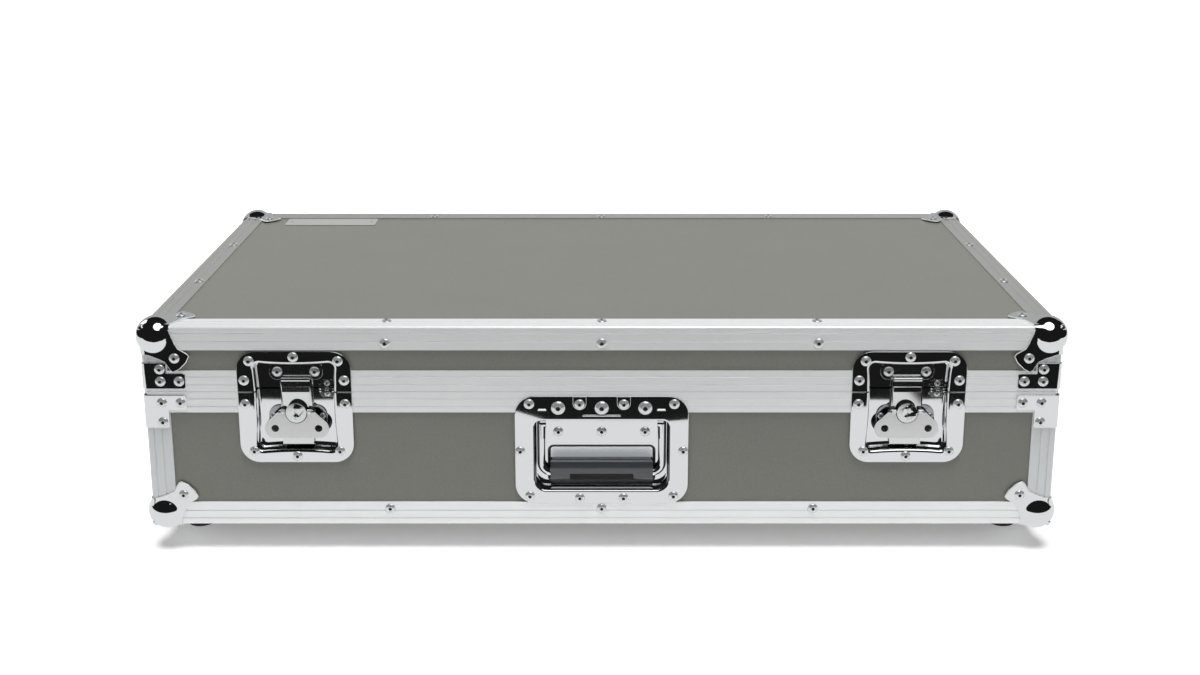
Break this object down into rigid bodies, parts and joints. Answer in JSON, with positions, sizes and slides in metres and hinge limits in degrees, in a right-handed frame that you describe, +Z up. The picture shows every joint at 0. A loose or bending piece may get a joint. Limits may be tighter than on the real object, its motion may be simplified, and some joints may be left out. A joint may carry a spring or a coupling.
{
  "type": "guitar pedal flight case",
  "caption": "Low flight case with ball corners, two recessed butterfly latches, a recessed spring handle and a foam-lined base and lid on back hinges.",
  "frame": {"origin": "centre of the footprint, on the floor under the rubber feet", "axes": "+X along the front to the right, +Y from the front to the hinged back, +Z up"},
  "size_m": [0.8938, 0.474, 0.238],
  "materials": {
    "laminate_board": "satin",
    "ribbed_aluminium": "satin",
    "corner_chrome": "polished",
    "dish_chrome": "polished",
    "latch_steel": "polished",
    "rivet_steel": "polished",
    "plain_steel": "satin",
    "grip_black": "satin",
    "foot_rubber": "matte",
    "foam_lining": "matte"
  },
  "bodies": {
    "base": {"floor_panel": "laminate_board", "base_front_panel": "laminate_board", "base_back_panel": "laminate_board", "base_side_panels": "laminate_board", "base_front_edge": "ribbed_aluminium", "base_back_edge": "ribbed_aluminium", "base_side_edges": "ribbed_aluminium", "base_corner_posts": "ribbed_aluminium", "base_front_closure": "ribbed_aluminium", "base_back_closure": "ribbed_aluminium", "base_side_closures": "ribbed_aluminium", "base_ball_corners": "corner_chrome", "base_corner_braces": "corner_chrome", "left_base_dish": "dish_chrome", "right_base_dish": "dish_chrome", "handle_dish": "dish_chrome", "handle_cover": "dish_chrome", "latch_base_plates": "latch_steel", "base_padlock_lugs": "latch_steel", "base_edge_rivets": "rivet_steel", "base_hardware_rivets": "rivet_steel", "foot_screws": "plain_steel", "handle_rod": "plain_steel", "handle_springs": "plain_steel", "hinge_pins": "plain_steel", "hinge_base_leaves": "plain_steel", "rubber_feet": "foot_rubber", "floor_foam": "foam_lining", "wall_foam": "foam_lining"},
    "lid": {"lid_top_panel": "laminate_board", "lid_front_panel": "laminate_board", "lid_back_panel": "laminate_board", "lid_side_panels": "laminate_board", "lid_front_edge": "ribbed_aluminium", "lid_back_edge": "ribbed_aluminium", "lid_side_edges": "ribbed_aluminium", "lid_corner_posts": "ribbed_aluminium", "lid_front_closure": "ribbed_aluminium", "lid_back_closure": "ribbed_aluminium", "lid_side_closures": "ribbed_aluminium", "lid_ball_corners": "corner_chrome", "lid_corner_braces": "corner_chrome", "left_lid_dish": "dish_chrome", "right_lid_dish": "dish_chrome", "latch_keepers": "latch_steel", "lid_padlock_lugs": "latch_steel", "lid_edge_rivets": "rivet_steel", "lid_hardware_rivets": "rivet_steel", "hinge_lid_leaves": "plain_steel", "lid_foam": "foam_lining"},
    "handle": {"handle_bail": "dish_chrome", "handle_grip": "grip_black"},
    "left_cam": {"left_cam": "latch_steel"},
    "left_wing": {"left_wing": "latch_steel"},
    "left_claw": {"left_claw": "latch_steel"},
    "right_cam": {"right_cam": "latch_steel"},
    "right_wing": {"right_wing": "latch_steel"},
    "right_claw": {"right_claw": "latch_steel"}
  },
  "joints": [
    {"name": "lid_hinge", "type": "hinge", "parent": "base", "child": "lid", "pos_m": [0, 0.2332, 0.165], "axis": [-1, 0, 0], "range_deg": [0, 100]},
    {"name": "handle_swing", "type": "hinge", "parent": "base", "child": "handle", "pos_m": [0, -0.2212, 0.1295], "axis": [-1, 0, 0], "range_deg": [0, 95], "stiffness_Nm_per_rad": 0.15, "springref_deg": -20.05},
    {"name": "left_latch_turn", "type": "hinge", "parent": "base", "child": "left_cam", "pos_m": [-0.295, -0.225, 0.143], "axis": [0, -1, 0], "range_deg": [0, 180]},
    {"name": "left_wing_fold", "type": "hinge", "parent": "left_cam", "child": "left_wing", "pos_m": [-0.295, -0.22775, 0.144], "axis": [-1, 0, 0], "range_deg": [0, 90]},
    {"name": "left_claw_slide", "type": "slide", "parent": "base", "child": "left_claw", "axis": [0, 0, 1], "range_m": [0, 0.008]},
    {"name": "right_latch_turn", "type": "hinge", "parent": "base", "child": "right_cam", "pos_m": [0.295, -0.225, 0.143], "axis": [0, -1, 0], "range_deg": [0, 180]},
    {"name": "right_wing_fold", "type": "hinge", "parent": "right_cam", "child": "right_wing", "pos_m": [0.295, -0.22775, 0.144], "axis": [-1, 0, 0], "range_deg": [0, 90]},
    {"name": "right_claw_slide", "type": "slide", "parent": "base", "child": "right_claw", "axis": [0, 0, 1], "range_m": [0, 0.008]}
  ],
  "couplings": [
    {"joint": "left_latch_turn", "follows": "left_claw_slide", "rad_per_m": 392.7},
    {"joint": "right_latch_turn", "follows": "right_claw_slide", "rad_per_m": 392.7}
  ]
}
